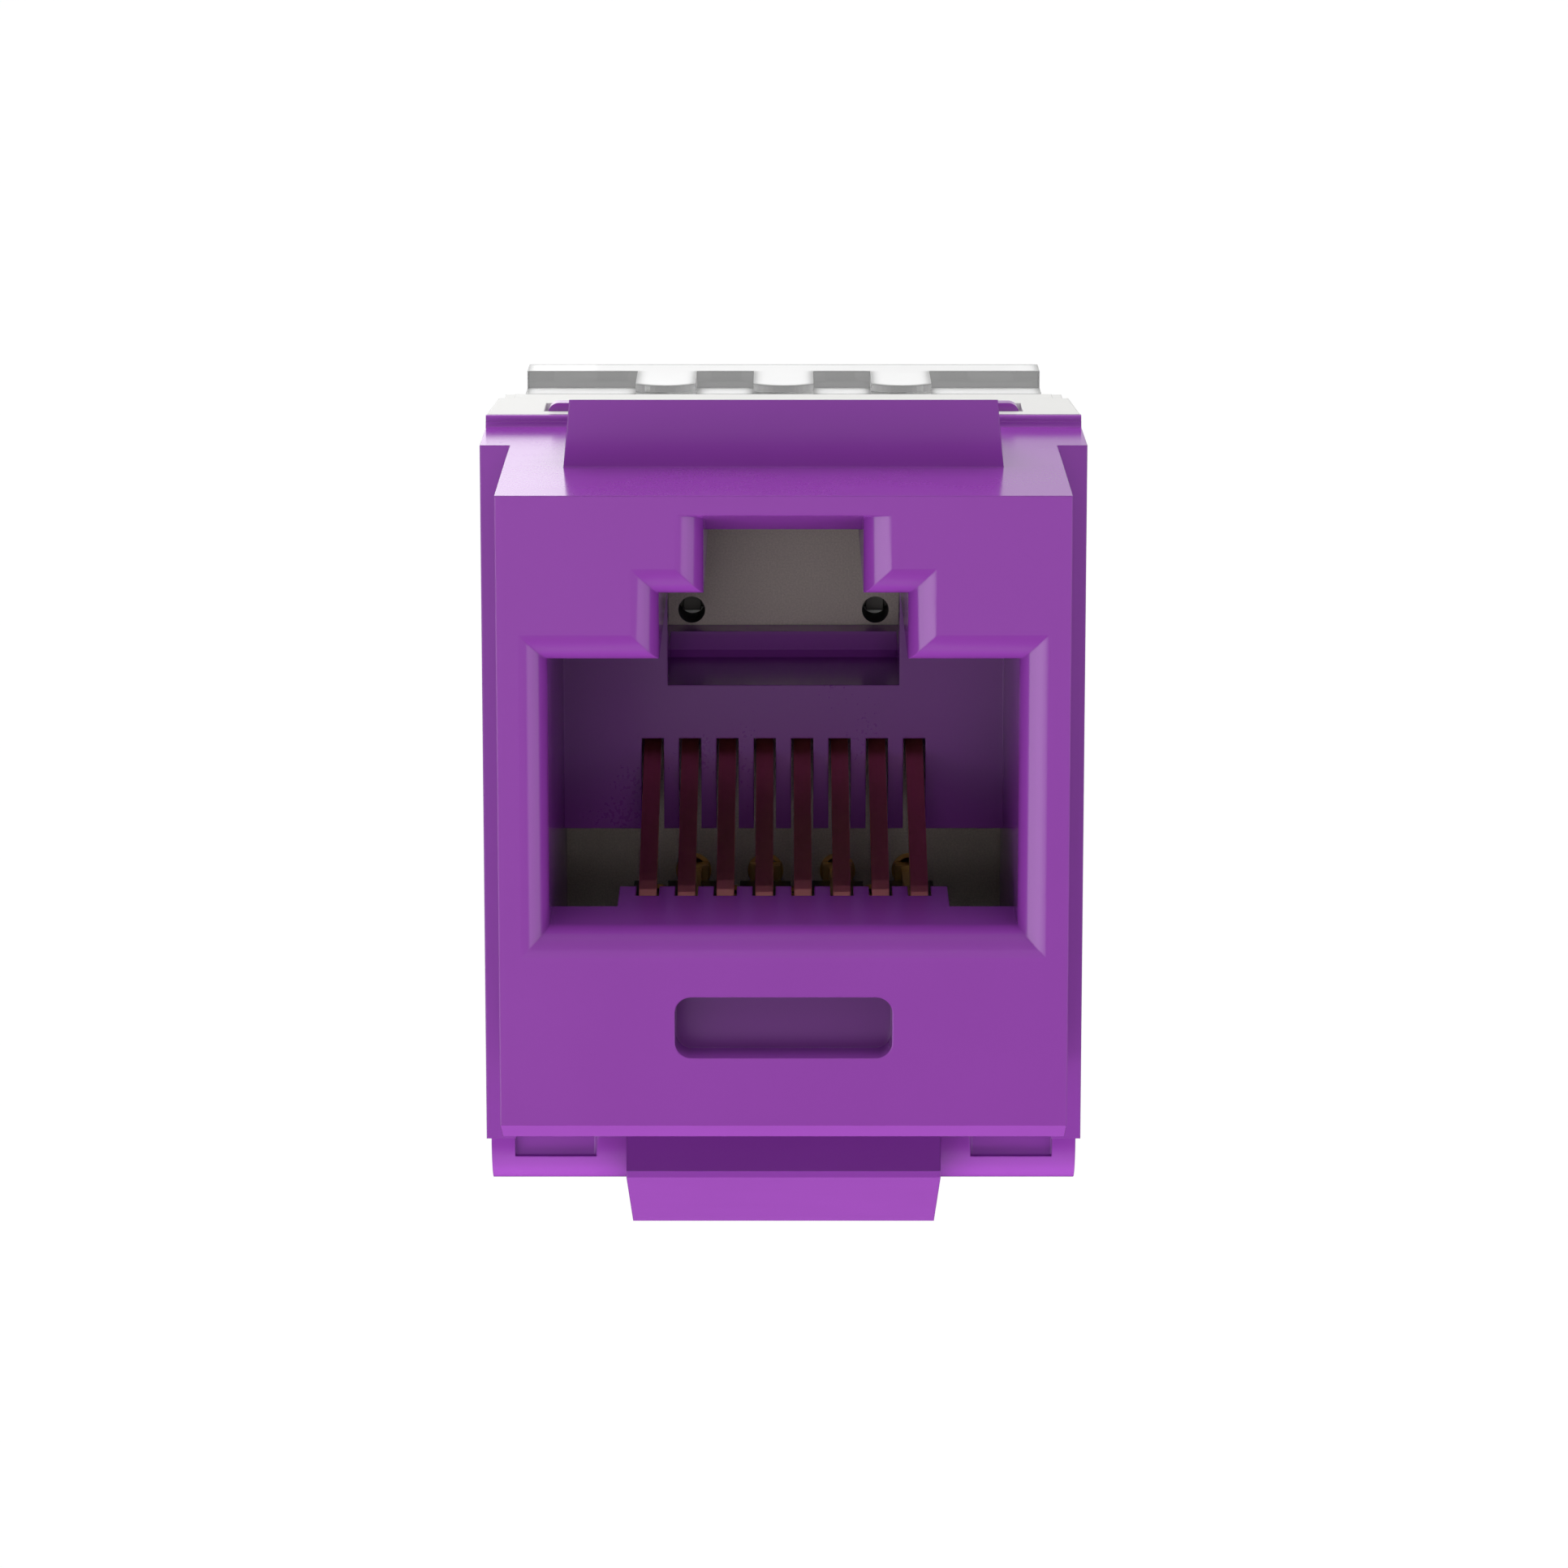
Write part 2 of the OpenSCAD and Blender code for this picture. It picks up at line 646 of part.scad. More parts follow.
module terminal_block() {
    row = [tower_z - tower_h, tower_z];
    low_row = [2 * mid_z - row[1], 2 * mid_z - row[0]];
    barb_room = barb_l + 4 * fit;
    color("#f2f1ec") difference() {
        union() {
            hood();
            slab(hood_rear_w, [base_y, base_end], [skirt_z + block_step, top - block_step]);
            for (i = [-2:2], z = [row, low_row]) tower(i, z);
        }
        slab(board_w + 2 * fit, [base_y - eps, board_back + fit],
            [chamber_z[0] + fit, chamber_z[1] - fit]);
        for (x = slot_x, z = blade_z) translate([x, 0, z])
            slab(blade_w + 4 * fit, [base_y, tower_end - blade_inset + 2 * fit],
                [-blade_t / 2 - fit, blade_t / 2 + fit]);
        for (s = [0, 1]) mirror([s, 0, 0])
            block([tower_w / 2 - barb_h - fit, tower_w], [arm_y - fit, arm_y + barb_room], [skirt_z, top]);
    }
}

// A forked blade with a wire slit open to the rear and a tail that enters the board
module terminal(n) {
    x = slot_x[n % 4];
    z = blade_z[floor(n / 4)];
    foot = board_back + 2 * fit;
    tip = tower_end - blade_inset;
    lead = slit_w;
    color("#c9c6bd") along_z([z - blade_t / 2, z + blade_t / 2]) difference() {
        union() {
            area([x - blade_w / 2, x + blade_w / 2], [foot, tip]);
            area([tail_at(x) - tail_w / 2, tail_at(x) + tail_w / 2], [board_back - tail_l, foot + fit]);
        }
        area([x - slit_w / 2, x + slit_w / 2], [tip - slit_l, tip + eps]);
        translate([x, tip - slit_l]) circle(slit_w / 2);
        polygon([[x - slit_w / 2, tip - 2 * lead], [x + slit_w / 2, tip - 2 * lead],
            [x + slit_w / 2 + lead, tip + fit], [x - slit_w / 2 - lead, tip + fit]]);
    }
}

// A finger with a bowed front end
module finger(x, z) {
    tip = plate_y - finger_l;
    r = (finger_w * finger_w / 4 + finger_bow * finger_bow) / (2 * finger_bow);
    along_z(z) {
        area([x - finger_w / 2, x + finger_w / 2], [tip + finger_bow, plate_y + fit]);
        intersection() {
            area([x - finger_w / 2, x + finger_w / 2], [tip - fit, tip + finger_bow + fit]);
            translate([x, tip + r]) circle(r);
        }
    }
}

module wire_cap() {
    half = cap_z - mid_z;
    collar_half = half - collar_step;
    arm_x = [tower_w / 2 + 2 * fit, cap_w / 2];
    plate_end = plate_y + cap_t;
    color("#dfe6e8", 0.4) translate([0, 0, mid_z]) difference() {
        union() {
            slab(cap_w, [plate_y, plate_end], [-half, half]);
            slab(cap_w, [collar_y, plate_y + fit], [-collar_half, collar_half]);
            for (i = [-1:1], s = [-1, 1])
                finger(i * wire_pitch, s > 0 ? [half - finger_t, half] : [-half, finger_t - half]);
            for (s = [0, 1]) mirror([s, 0, 0]) {
                block(arm_x, [arm_y, plate_y], [-arm_h, arm_h]);
                along_z([-arm_h, arm_h]) polygon([[arm_x[0] - barb_h - fit, arm_y + barb_l],
                    [arm_x[0], arm_y], [arm_x[0] + fit, arm_y], [arm_x[0] + fit, arm_y + barb_l]]);
            }
        }
        slab(cap_w - 2 * collar_wall, [collar_y - eps, plate_y],
            [collar_wall - collar_half, collar_half - collar_wall]);
        along_y([plate_y - eps, plate_end + eps]) circle(d = cable_d);
    }
}

housing();
contact(0);  // contact_1
contact(1);  // contact_2
contact(2);  // contact_3
contact(3);  // contact_4
contact(4);  // contact_5
contact(5);  // contact_6
contact(6);  // contact_7
contact(7);  // contact_8
contact_sled();
circuit_board();
contact_pads();
terminal_block();
terminal(0);  // terminal_1
terminal(1);  // terminal_2
terminal(2);  // terminal_3
terminal(3);  // terminal_4
terminal(4);  // terminal_5
terminal(5);  // terminal_6
terminal(6);  // terminal_7
terminal(7);  // terminal_8
wire_cap();
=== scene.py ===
# %% [markdown]
# # A keystone jack, dressed around its solids
# A keystone jack is the socket in a network wall plate. A coloured nose snaps into the plate, a stepped
# port takes the plug, and a terminal block with a clear cap holds the cable's wires at the rear. The solids
# come ready made at their real size, so this lesson is about looks: first the view and the light, then one
# finish for each material.

# %% Load the solids
import math

import bpy
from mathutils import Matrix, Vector


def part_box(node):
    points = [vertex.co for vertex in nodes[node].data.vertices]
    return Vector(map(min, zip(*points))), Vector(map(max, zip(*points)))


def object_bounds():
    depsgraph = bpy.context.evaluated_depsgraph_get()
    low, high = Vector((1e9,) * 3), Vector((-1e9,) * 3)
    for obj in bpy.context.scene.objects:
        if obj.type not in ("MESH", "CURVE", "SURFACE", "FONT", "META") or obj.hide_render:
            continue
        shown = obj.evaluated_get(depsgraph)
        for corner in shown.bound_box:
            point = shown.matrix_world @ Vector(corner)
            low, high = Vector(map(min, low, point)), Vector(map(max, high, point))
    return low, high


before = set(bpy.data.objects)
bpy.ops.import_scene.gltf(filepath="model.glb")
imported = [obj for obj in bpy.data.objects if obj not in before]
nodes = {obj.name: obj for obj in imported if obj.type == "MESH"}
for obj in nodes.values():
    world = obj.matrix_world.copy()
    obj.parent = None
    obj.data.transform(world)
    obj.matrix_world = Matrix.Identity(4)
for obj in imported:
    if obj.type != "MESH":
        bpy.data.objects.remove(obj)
scene = bpy.context.scene
scene.view_settings.view_transform = "Standard"
cad_low, cad_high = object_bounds()
MM = 0.001
print("solids:", len(nodes), "size in mm:", [round(v / MM, 2) for v in cad_high - cad_low])

# %% [markdown]
# ## The camera
# The view looks along the port from a little above, through a long lens, so the sides hardly converge. The
# origin is the middle of the front face, which makes the camera's place easy to give: so far in front and
# so far above it. A turn of 90 degrees about X would look level, and the rest of the turn is the look
# downwards.

# %% Place the camera
CAMERA_BACK = 147.582 * MM
CAMERA_UP = 31.376 * MM
LOOK_DOWN = math.radians(11.6)
LENS_MM = 136.72
SENSOR_MM = 36.0
FRAME_PX = 1932
CENTRE_OFFSET_PX = 0.6
CLIP_START = 10 * MM

camera_data = bpy.data.cameras.new("camera")
camera_data.lens = LENS_MM
camera_data.sensor_width = SENSOR_MM
camera_data.shift_x = CENTRE_OFFSET_PX / FRAME_PX
camera_data.clip_start = CLIP_START
camera = bpy.data.objects.new("camera", camera_data)
camera.location = (0, -CAMERA_BACK, CAMERA_UP)
camera.rotation_euler = (math.pi / 2 - LOOK_DOWN, 0, 0)
scene.collection.objects.link(camera)
scene.camera = camera
print("camera", round(camera.location.length / MM, 1), "mm from the front face")

# %% [markdown]
# ## Shader maths in plain Python
# A finish is a small tree of nodes, and clicking or scripting one node at a time soon hides what it works
# out. So one class wraps an output socket: arithmetic on it adds Math nodes, and one method adds any other
# node. Colours go through Mix nodes instead, because a Math node would turn them grey.

# %% Wrap a socket
class Wire:
    """An output socket. Arithmetic on it adds Math nodes to its tree."""

    def __init__(self, socket):
        self.socket = socket

    @staticmethod
    def add(tree, kind, settings=None, sockets=None, out=0):
        """Adds a node, sets its settings and then its sockets, and gives back one of its outputs."""
        node = tree.nodes.new(kind)
        for name, value in (settings or {}).items():
            setattr(node, name, value)
        for key, value in (sockets or {}).items():
            if isinstance(value, Wire):
                tree.links.new(value.socket, node.inputs[key])
            else:
                node.inputs[key].default_value = value
        return Wire(node.outputs[out]) if len(node.outputs) else None

    def math(self, operation, first, second=0.0):
        tree = self.socket.id_data
        return Wire.add(tree, "ShaderNodeMath", {"operation": operation}, {0: first, 1: second})

    def __add__(self, other):
        return self.math("ADD", self, other)

    def __radd__(self, other):
        return self.math("ADD", other, self)

    def __sub__(self, other):
        return self.math("SUBTRACT", self, other)

    def __rsub__(self, other):
        return self.math("SUBTRACT", other, self)

    def __mul__(self, other):
        return self.math("MULTIPLY", self, other)

    def __rmul__(self, other):
        return self.math("MULTIPLY", other, self)


print("shader maths ready")

# %% [markdown]
# ## Colours and coordinates
# One Mix node serves numbers, vectors and colours, and keeps separate sockets for each. Its colour sockets
# share their names with the others, so they are picked by number. A finish also often asks where a point
# lies or which way its surface faces, so both have a short helper.

# %% Mix colours and take vectors apart
MIX_COLOURS = (6, 7)
MIX_COLOUR_OUT = 2


def with_alpha(colour):
    """A colour as a socket wants it, with its fourth number."""
    return colour if isinstance(colour, Wire) else (*colour, 1)


def blend(tree, factor, first, second):
    """A colour that goes from the first to the second as the factor goes from 0 to 1."""
    sockets = {"Factor": factor, MIX_COLOURS[0]: with_alpha(first), MIX_COLOURS[1]: with_alpha(second)}
    return Wire.add(tree, "ShaderNodeMix", {"data_type": "RGBA"}, sockets, out=MIX_COLOUR_OUT)


def along(tree, axis, vector):
    """How far a vector reaches along X, Y or Z."""
    return Wire.add(tree, "ShaderNodeSeparateXYZ", sockets={0: vector}, out=axis)


def object_place(tree):
    return Wire.add(tree, "ShaderNodeTexCoord", out="Object")


def true_normal(tree):
    return Wire.add(tree, "ShaderNodeNewGeometry", out="True Normal")


def empty_tree(owner):
    """Gives a material or a world an empty tree of nodes."""
    owner.use_nodes = True
    owner.node_tree.nodes.clear()
    return owner.node_tree


def new_finish(name):
    material = bpy.data.materials.new(name)
    return material, empty_tree(material)


print("colour and coordinate helpers ready")

# %% [markdown]
# ## Floor and background
# The jack is held by its panel and stands clear of the floor, as a product shot shows it. The floor lies so
# far below that the shadow falls under the picture. To the camera, and to a ray that a clear surface sends
# on, it is white. Glossy faces that look down would mirror all that white as a grey veil. So to glossy rays
# the floor is almost black close by and grows paler far in front, where the flat front and the comb wall
# mirror it. The plain diffuse share that is left keeps the shadow.

# %% Decide what each kind of ray sees
def seen(tree, camera_share, glossy_share):
    """A share for rays from the camera or a clear surface, one for glossy rays, and 0 for the rest."""
    names = ("Is Camera Ray", "Is Transmission Ray", "Is Glossy Ray")
    direct, through, glossy = [Wire.add(tree, "ShaderNodeLightPath", out=name) for name in names]
    plain = direct.math("MAXIMUM", direct, through) * camera_share
    return plain.math("MAXIMUM", plain, glossy * glossy_share)


print("ray helper ready")

# %% Lay the floor
WHITE = (1, 1, 1)
FLOOR_BELOW = 300 * MM
FLOOR_HALF = 6.0
FLOOR_GREY = (0.10, 0.10, 0.10)
FLOOR_WHITE = 1.07
CAMERA_SHARE = 0.94
GLOSSY_SHARE = 0.01
FRONT_SHARE = 0.62
FRONT_NEAR = -0.70
FRONT_FAR = -1.80


def floor_finish():
    material, tree = new_finish("pale_floor")
    matt = Wire.add(tree, "ShaderNodeBsdfDiffuse", sockets={"Color": with_alpha(FLOOR_GREY)})
    glow = {"Color": with_alpha(WHITE), "Strength": FLOOR_WHITE}
    white = Wire.add(tree, "ShaderNodeEmission", sockets=glow)
    depth = along(tree, "Y", object_place(tree))
    ahead = Wire.add(tree, "ShaderNodeMapRange", sockets={0: depth, 1: FRONT_NEAR, 2: FRONT_FAR})
    share = seen(tree, CAMERA_SHARE, GLOSSY_SHARE + FRONT_SHARE * ahead)
    mixed = Wire.add(tree, "ShaderNodeMixShader", sockets={0: share, 1: matt, 2: white})
    Wire.add(tree, "ShaderNodeOutputMaterial", sockets={"Surface": mixed})
    return material


floor_z = cad_low.z - FLOOR_BELOW
floor_signs = ((-1, -1), (1, -1), (1, 1), (-1, 1))
floor_mesh = bpy.data.meshes.new("floor")
floor_corners = [(sx * FLOOR_HALF, sy * FLOOR_HALF, floor_z) for sx, sy in floor_signs]
floor_mesh.from_pydata(floor_corners, [], [(0, 1, 2, 3)])
floor = bpy.data.objects.new("floor", floor_mesh)
floor.data.materials.append(floor_finish())
scene.collection.objects.link(floor)
print("floor", round(FLOOR_BELOW / MM), "mm below the latch")

# %% [markdown]
# ## Studio light
# The world is a white backdrop to the camera and through clear plastic. To glossy surfaces it is bright
# behind the jack and dim on the camera's side, so the faces that look to the camera keep their deep colour.
# It lights the jack a little from all round.

# %% Set the world
AMBIENT = 0.06
ROOM_GLOSS = 0.20
BACKDROP_GLOSS = 0.62
BACKDROP_FROM = -0.1
BACKDROP_TO = 0.4


def set_world():
    world = bpy.data.worlds.new("studio")
    scene.world = world
    tree = empty_tree(world)
    depth = along(tree, "Y", Wire.add(tree, "ShaderNodeTexCoord", out="Generated"))
    smooth = {"interpolation_type": "SMOOTHSTEP"}
    behind = Wire.add(tree, "ShaderNodeMapRange", smooth, {0: depth, 1: BACKDROP_FROM, 2: BACKDROP_TO})
    share = seen(tree, 1.0, ROOM_GLOSS + (BACKDROP_GLOSS - ROOM_GLOSS) * behind)
    white = with_alpha(WHITE)
    ambient = Wire.add(tree, "ShaderNodeBackground", sockets={"Color": white, "Strength": AMBIENT})
    backdrop = Wire.add(tree, "ShaderNodeBackground", sockets={"Color": white, "Strength": 1.0})
    mixed = Wire.add(tree, "ShaderNodeMixShader", sockets={0: share, 1: ambient, 2: backdrop})
    Wire.add(tree, "ShaderNodeOutputWorld", sockets={"Surface": mixed})


set_world()
print("world:", scene.world.name)

# %% [markdown]
# ## Softboxes
# Softboxes do the shaping. Two hang above, one of them towards the front. One at each side shows as a pale
# band in the port's rounds, and one behind on the left glances off the top of the nose. Two small ones in
# front reach into the port, the lower one to the comb wall and the higher one to the foot of the board. One
# below lights the bevels that face down. A softbox is set by how bright its face is, which doesn't change
# with its size. Most are hidden from glossy surfaces, because their mirror images would show as hard
# patches.

# %% Hang the softboxes
jack_middle = (cad_low + cad_high) / 2


def softbox(name, place, size, brightness, mirrored=False):
    """A lamp aimed at the jack whose face has that brightness, where 1 is the white of the background."""
    width, height = size
    data = bpy.data.lights.new(name, "AREA")
    data.shape = "RECTANGLE"
    data.size = width
    data.size_y = height
    data.energy = brightness * math.pi * width * height
    lamp = bpy.data.objects.new(name, data)
    lamp.location = place
    lamp.rotation_euler = (jack_middle - Vector(place)).to_track_quat("-Z", "Y").to_euler()
    lamp.visible_camera = False
    lamp.visible_glossy = mirrored
    scene.collection.objects.link(lamp)


softbox("overhead", place=(0, 0.08, 0.25), size=(0.50, 0.50), brightness=1.85)
softbox("overhead_front", place=(0, -0.24, 0.25), size=(0.40, 0.26), brightness=1.0)
softbox("left", place=(-0.280, -0.285, -0.085), size=(0.54, 0.16), brightness=2.6, mirrored=True)
softbox("right", place=(0.330, -0.227, -0.085), size=(0.43, 0.16), brightness=1.4, mirrored=True)
softbox("back_left", place=(-0.25, 0.60, 0.17), size=(0.50, 0.36), brightness=1.1, mirrored=True)
softbox("front", place=(0, -0.60, 0.06), size=(0.20, 0.10), brightness=7.5)
softbox("front_high", place=(0, -0.60, 0.17), size=(0.14, 0.08), brightness=2.2)
softbox("below", place=(0, 0.01, -0.15), size=(0.30, 0.22), brightness=3.85)
print("lamps:", len(bpy.data.lights))

# %% [markdown]
# ## What every finish shares
# Real edges are never sharp: a mould leaves a tiny round that catches the light. A Bevel node bends the
# shading near an edge, so flat solids get that round without new faces. Bump then lays the fine grain of
# the surface over it. Noise in the object's own coordinates gives that grain, at a size in real
# millimetres.

# %% Make the shared parts of a finish
BEVEL_SAMPLES = 6
FULL_LEAN = 0.25


def speckle(tree, size, detail=2.0, stretch=(1, 1, 1)):
    """Soft noise about 0.5 with spots of that size in metres, drawn out along an axis by a small stretch."""
    place = Wire.add(tree, "ShaderNodeMapping", sockets={"Vector": object_place(tree), "Scale": stretch})
    sockets = {"Vector": place, "Scale": 1 / size, "Detail": detail}
    return Wire.add(tree, "ShaderNodeTexNoise", sockets=sockets)


def soft_edges(tree, radius):
    return Wire.add(tree, "ShaderNodeBevel", {"samples": BEVEL_SAMPLES}, {"Radius": radius})


def edge_share(tree, rounded):
    """1 on a rounded edge and 0 on a flat, from how far the rounded normal leans from the true one."""
    vectors = {0: rounded, 1: true_normal(tree)}
    agree = Wire.add(tree, "ShaderNodeVectorMath", {"operation": "DOT_PRODUCT"}, vectors, out="Value")
    return Wire.add(tree, "ShaderNodeMapRange", sockets={0: 1 - agree, 1: 0.0, 2: FULL_LEAN})


def bumped(tree, height, strength, depth, rounded=None):
    """A normal with a relief of that depth in metres laid over it."""
    sockets = {"Strength": strength, "Distance": depth, "Height": height}
    if rounded:
        sockets["Normal"] = rounded
    return Wire.add(tree, "ShaderNodeBump", sockets=sockets)


def close(material, tree, sockets, other=None, other_share=0.0):
    """Ends a finish with a Principled shader, or with a mix of it and a share of another shader."""
    surface = Wire.add(tree, "ShaderNodeBsdfPrincipled", sockets=sockets)
    if other:
        surface = Wire.add(tree, "ShaderNodeMixShader", sockets={0: other_share, 1: surface, 2: other})
    Wire.add(tree, "ShaderNodeOutputMaterial", sockets={"Surface": surface})
    print("finish", material.name, "with", len(tree.nodes), "nodes")
    return material


def dress(material, names):
    for name in names:
        slots = nodes[name].data.materials
        slots.clear()
        slots.append(material)


print("finish helpers ready")

# %% [markdown]
# ## Dull walls with painted shade
# The housing's outside is polished. Its comb wall, the floor of its label recess and the leg of its latch
# look duller, as a moulding core leaves such walls, and their colour is darkened as painted shade for
# the depth of the port, the recess and the space under the nose. Separate materials for them would need
# the mesh cut up. Instead they are picked out within the one material: they face the front, and they lie in
# one of two boxes.

# %% Find the dull walls that get painted shade
COMB_BOX = {"X": (-5.98 * MM, 5.98 * MM), "Y": (11.0 * MM, 11.8 * MM), "Z": (-2.8 * MM, 8.0 * MM)}
COMB_PAINTED_SHADE = 0.30
LABEL_AND_LEG_BOX = {"X": (-4.3 * MM, 4.3 * MM), "Y": (0.7 * MM, 9.0 * MM), "Z": (-10.97 * MM, -2.8 * MM)}
LABEL_AND_LEG_PAINTED_SHADE = 0.42
FACES_FRONT = -0.9


def within(tree, box):
    """1 where a point lies inside a box, and 0 elsewhere."""
    inside = 1.0
    for axis, (low, high) in box.items():
        value = along(tree, axis, object_place(tree))
        inside = inside * value.math("GREATER_THAN", value, low) * value.math("LESS_THAN", value, high)
    return inside


def core_painted_shade(tree):
    """How much shade is painted onto a dull wall's colour, and 0 on the polished rest."""
    facing = along(tree, "Y", true_normal(tree))
    frontal = facing.math("LESS_THAN", facing, FACES_FRONT)
    comb = within(tree, COMB_BOX) * COMB_PAINTED_SHADE
    return frontal * (comb + within(tree, LABEL_AND_LEG_BOX) * LABEL_AND_LEG_PAINTED_SHADE)


# Prints how much shade is painted onto the comb wall, and onto the label recess and the latch leg.
print("dull walls:", COMB_PAINTED_SHADE, "darker in the port,", LABEL_AND_LEG_PAINTED_SHADE, "darker below it")

# %% [markdown]
# ## Moulded plastic
# The housing, the terminal block and the contact sled are injection moulded. Such a part is never one flat
# colour: the melt leaves faint cloudy streaks, the tool's spark-eroded wall leaves a grain finer than a
# tenth of a millimetre, and edges wear a little paler. One function makes all three. Their colours, gloss,
# grain and edges differ, and the housing alone has the dull walls with their painted shade.

# %% Make the moulded finish
CLOUD_SIZE = 3.5 * MM
CLOUD_DETAIL = 3.0
CLOUD_TINT = 0.03
CLOUD_GLOSS = 0.06
GRAIN_SIZE = 0.09 * MM
GRAIN_STRENGTH = 0.06
GRAIN_GLOSS = 0.04
EDGE_WEAR = 0.35
CORE_DULL = 0.35
PLASTIC_IOR = 1.53


def moulded(name, colour, edge_colour, roughness, grain_depth, edge_radius, dull_walls_with_painted_shade=False):
    material, tree = new_finish(name)
    cloud = speckle(tree, CLOUD_SIZE, CLOUD_DETAIL)
    grain = speckle(tree, GRAIN_SIZE)
    body = blend(tree, cloud, [(1 - CLOUD_TINT) * c for c in colour], [(1 + CLOUD_TINT) * c for c in colour])
    rounded = soft_edges(tree, edge_radius)
    if dull_walls_with_painted_shade:
        shade = core_painted_shade(tree)
        # The dull walls get painted shade in their colour, and more roughness.
        body = blend(tree, shade, body, (0, 0, 0))
        roughness = roughness + CORE_DULL * shade
    return close(material, tree, {
        "Base Color": blend(tree, edge_share(tree, rounded) * EDGE_WEAR, body, edge_colour),
        "Roughness": roughness + CLOUD_GLOSS * (cloud - 0.5) + GRAIN_GLOSS * (grain - 0.5),
        "IOR": PLASTIC_IOR,
        "Normal": bumped(tree, grain, GRAIN_STRENGTH, grain_depth, rounded),
    })


print("moulded finish ready")

# %% Dress the moulded parts
PURPLE = (0.258, 0.046, 0.367)
PURPLE_EDGE = (0.277, 0.053, 0.393)
PURPLE_ROUGHNESS = 0.18
IVORY = (0.65, 0.648, 0.635)
IVORY_EDGE = (0.72, 0.72, 0.705)
IVORY_ROUGHNESS = 0.45
BLACK = (0.020, 0.019, 0.021)
BLACK_EDGE = (0.05, 0.05, 0.055)
BLACK_ROUGHNESS = 0.45

purple = moulded("purple_plastic", PURPLE, PURPLE_EDGE, PURPLE_ROUGHNESS,
                 grain_depth=0.002 * MM, edge_radius=0.05 * MM, dull_walls_with_painted_shade=True)
ivory = moulded("white_plastic", IVORY, IVORY_EDGE, IVORY_ROUGHNESS,
                grain_depth=0.004 * MM, edge_radius=0.07 * MM)
black = moulded("black_plastic", BLACK, BLACK_EDGE, BLACK_ROUGHNESS,
                grain_depth=0.006 * MM, edge_radius=0.07 * MM)
dress(purple, ["housing"])
dress(ivory, ["terminal_block"])
dress(black, ["contact_sled"])

# %% [markdown]
# ## Clear wire cap
# The cap is clear plastic. A clear solid needs real thickness, which the cap has, so light bends through it
# and its edges go dark, and its rounded edges are painted darker still. The faces towards the front are
# painted grey as painted shade, so they read as grey plates; the other clear walls keep a roughness near
# zero with a trace of waviness. The flat tops, and the sides of the plate and its collar, get a rough frost
# finish whose pale colour is painted light, with painted dark rims. So the finish follows the direction
# that the surface faces and, for those sides, how far back they lie.

# %% Make the clear finish
FRONT_FACE_PAINTED_SHADE = (0.27, 0.27, 0.27)
CLEAR = (0.97, 0.97, 0.97)
CLEAR_ROUGHNESS = 0.01
CLEAR_IOR = 1.50
CAP_ROUND = 0.05 * MM
CAP_PAINTED_DARK_EDGE = (0.10, 0.10, 0.10)
CAP_PAINTED_DARK_EDGE_SHARE = 0.6
WAVE_SIZE = 1.6 * MM
WAVE_DEPTH = 0.005 * MM
WAVE_STRENGTH = 0.04
WAVE_ROUGHNESS = 0.02
FROST_PAINTED_LIGHT = (0.90, 0.90, 0.90)
FROST_ROUGHNESS = 0.45
FROST_PAINTED_LIGHT_SHARE = 0.8
PAINTED_RIM_RADIUS = 0.5 * MM
PAINTED_DARK_RIM_SHARE = 0.9
COVER_DEPTH = 2.9 * MM
cover_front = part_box("wire_cap")[1][1] - COVER_DEPTH


def frost_painted_light_share(tree, facing):
    """How far a surface gets the frost finish with its painted light: the flat tops, and the sides of the
    plate and its collar.
    """
    sideways = along(tree, "X", facing)
    upward = along(tree, "Z", facing)
    depth = along(tree, "Y", object_place(tree))
    cover_side = sideways * sideways * depth.math("GREATER_THAN", depth, cover_front)
    return (upward * upward + cover_side) * FROST_PAINTED_LIGHT_SHARE


def clear_plastic():
    material, tree = new_finish("clear_plastic")
    wave = speckle(tree, WAVE_SIZE)
    rounded = soft_edges(tree, CAP_ROUND)
    facing = true_normal(tree)
    rearward = along(tree, "Y", facing)
    # The faces towards the front are painted grey: painted shade.
    clear_with_painted_shade = blend(tree, rearward.math("MAXIMUM", 0 - rearward, 0.0), CLEAR, FRONT_FACE_PAINTED_SHADE)
    # The rims of the frost are painted dark: painted shade.
    painted_dark_rim = edge_share(tree, soft_edges(tree, PAINTED_RIM_RADIUS))
    frost_with_painted_light = Wire.add(tree, "ShaderNodeBsdfPrincipled", sockets={
        "Base Color": blend(tree, painted_dark_rim * PAINTED_DARK_RIM_SHARE, FROST_PAINTED_LIGHT, CAP_PAINTED_DARK_EDGE),
        "Roughness": FROST_ROUGHNESS,
    })
    return close(material, tree, {
        # Rounded edges are painted dark: painted shade.
        "Base Color": blend(tree, edge_share(tree, rounded) * CAP_PAINTED_DARK_EDGE_SHARE, clear_with_painted_shade, CAP_PAINTED_DARK_EDGE),
        "Roughness": CLEAR_ROUGHNESS + WAVE_ROUGHNESS * wave,
        "IOR": CLEAR_IOR,
        "Transmission Weight": 1.0,
        "Normal": bumped(tree, wave, WAVE_STRENGTH, WAVE_DEPTH, rounded),
    }, frost_with_painted_light, frost_painted_light_share(tree, facing))


dress(clear_plastic(), ["wire_cap"])

# %% [markdown]
# ## Circuit board
# The board behind the port is glass cloth in resin under a thin matt lacquer. Close up it is a warm grey,
# as fine as sand: specks of a few hundredths of a millimetre, paler and darker. Its edges and the walls of
# its holes are painted dark, as painted shade in the holes, so the colour there follows the direction that
# the surface faces.

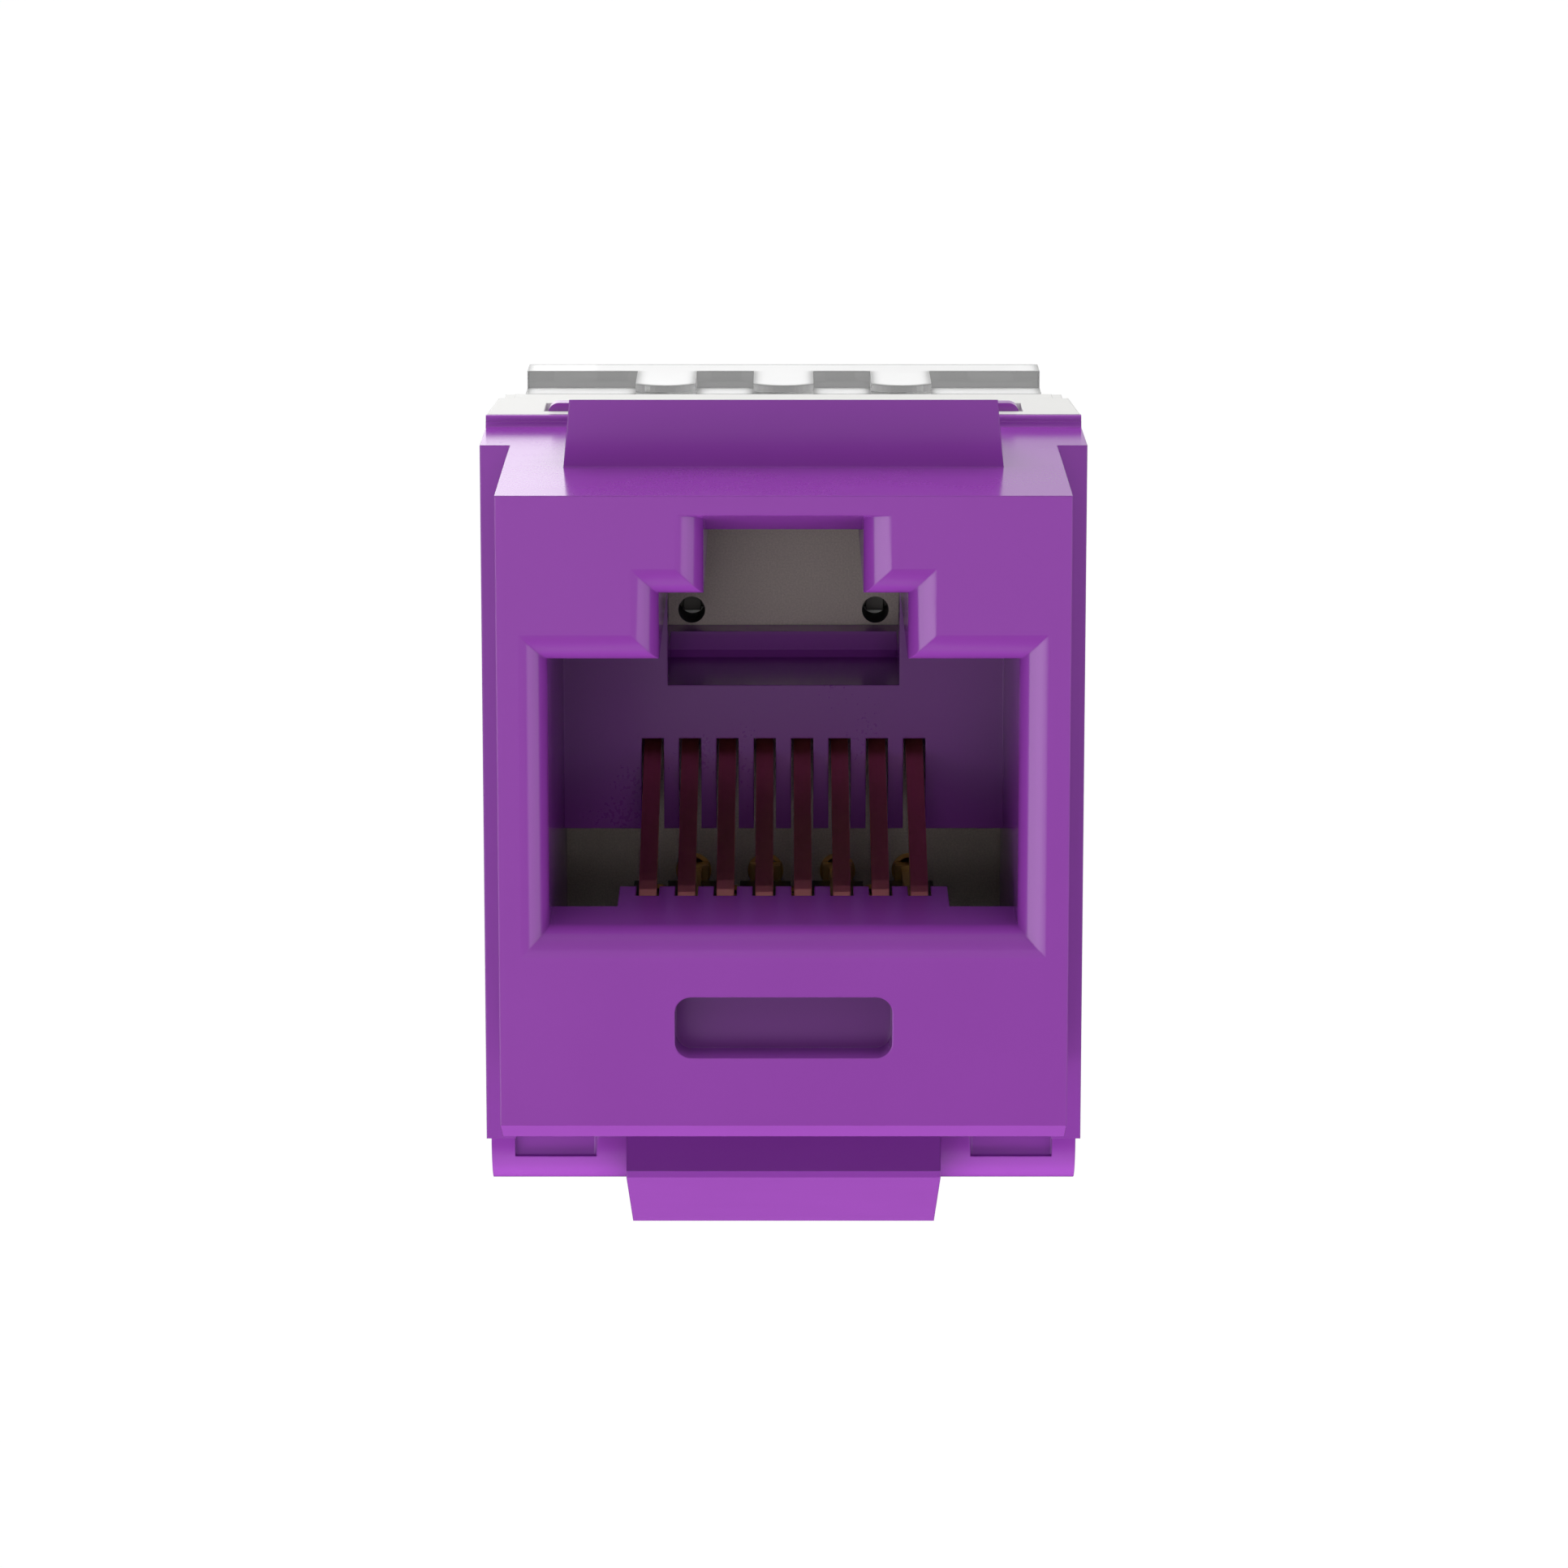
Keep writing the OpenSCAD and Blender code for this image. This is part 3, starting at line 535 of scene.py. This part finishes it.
# %% Make the board finish
SPECK_SIZE = 0.05 * MM
SPECK_DETAIL = 3.0
SPECK_DARK = (0.43, 0.374, 0.338)
SPECK_PALE = (0.785, 0.69, 0.625)
SPECK_DEPTH = 0.006 * MM
SPECK_STRENGTH = 0.3
SPECK_GLOSS = 0.2
PATCH_SIZE = 0.9 * MM
PATCH_GREY = (0.52, 0.48, 0.45)
PATCH_SHARE = 0.12
EDGE_AND_HOLE_PAINTED_SHADE = (0.06, 0.055, 0.055)
BOARD_ROUGHNESS = 0.62


def board_laminate():
    material, tree = new_finish("board_laminate")
    specks = speckle(tree, SPECK_SIZE, SPECK_DETAIL)
    patches = speckle(tree, PATCH_SIZE)
    lacquer = blend(tree, specks, SPECK_DARK, SPECK_PALE)
    lacquer = blend(tree, patches * PATCH_SHARE, lacquer, PATCH_GREY)
    facing = along(tree, "Y", true_normal(tree))
    # Faces that look neither to the front nor to the back, the edges and hole walls, are painted dark:
    # painted shade.
    edge_and_hole_shade_share = 1 - facing.math("ABSOLUTE", facing)
    return close(material, tree, {
        "Base Color": blend(tree, edge_and_hole_shade_share, lacquer, EDGE_AND_HOLE_PAINTED_SHADE),
        "Roughness": BOARD_ROUGHNESS + SPECK_GLOSS * (specks - 0.5),
        "Normal": bumped(tree, specks, SPECK_STRENGTH, SPECK_DEPTH),
    })


dress(board_laminate(), ["circuit_board"])

# %% [markdown]
# ## Gold and tin
# The spring contacts are gold plated, and so are the rings round their holes. The terminals are tin plated.
# Both are stamped from strip, which leaves fine rolling lines along the metal. Noise drawn out along one
# axis makes such lines, and they show best in the roughness. The part of a terminal that reaches into the
# board's holes is painted dark as painted shade, and the dark fades out just behind the board.

# %% Make the metal finish
LINE_SIZE = 0.05 * MM
LINE_STRETCH = (1, 0.04, 1)
LINE_DEPTH = 0.002 * MM
LINE_STRENGTH = 0.05
LINE_GLOSS = 0.08
TARNISH_SIZE = 0.8 * MM
TARNISH_GLOSS = 0.08
METAL_DETAIL = 3.0
METAL_ROUND = 0.04 * MM
HOLE_PAINTED_SHADE = (0.10, 0.095, 0.09)
HOLE_SHADE_FADE = 0.3 * MM


def plated(name, bright, dull, roughness, hole_shade_until=None):
    """A plated metal, painted dark with shade in front of a depth if one is given."""
    material, tree = new_finish(name)
    lines = speckle(tree, LINE_SIZE, METAL_DETAIL, LINE_STRETCH)
    tarnish = speckle(tree, TARNISH_SIZE, METAL_DETAIL)
    colour = blend(tree, tarnish, bright, dull)
    # Painted shade on the part that reaches into the board's holes.
    if hole_shade_until:
        depth = along(tree, "Y", object_place(tree))
        ends = {1: hole_shade_until, 2: hole_shade_until + HOLE_SHADE_FADE}
        unshaded_share = Wire.add(tree, "ShaderNodeMapRange", sockets={0: depth, **ends})
        colour = blend(tree, unshaded_share, HOLE_PAINTED_SHADE, colour)
    rounded = soft_edges(tree, METAL_ROUND)
    return close(material, tree, {
        "Base Color": colour,
        "Metallic": 1.0,
        "Roughness": roughness + LINE_GLOSS * (lines - 0.5) + TARNISH_GLOSS * (tarnish - 0.5),
        "Normal": bumped(tree, lines, LINE_STRENGTH, LINE_DEPTH, rounded),
    })


print("metal finish ready")

# %% Dress the metal parts
GOLD = (0.98, 0.70, 0.29)
GOLD_DULL = (0.90, 0.64, 0.26)
GOLD_ROUGHNESS = 0.40
TIN = (0.70, 0.69, 0.66)
TIN_DULL = (0.56, 0.54, 0.50)
TIN_ROUGHNESS = 0.34

numbered = [name for name in nodes if name[-1].isdigit()]
contacts = [name for name in numbered if name.startswith("contact_")]
terminals = [name for name in numbered if name.startswith("terminal_")]
board_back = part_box("circuit_board")[1][1]
dress(plated("gold_contact", GOLD, GOLD_DULL, GOLD_ROUGHNESS), contacts + ["contact_pads"])
dress(plated("tinned_bronze", TIN, TIN_DULL, TIN_ROUGHNESS, hole_shade_until=board_back), terminals)
print("contacts:", len(contacts), "terminals:", len(terminals))
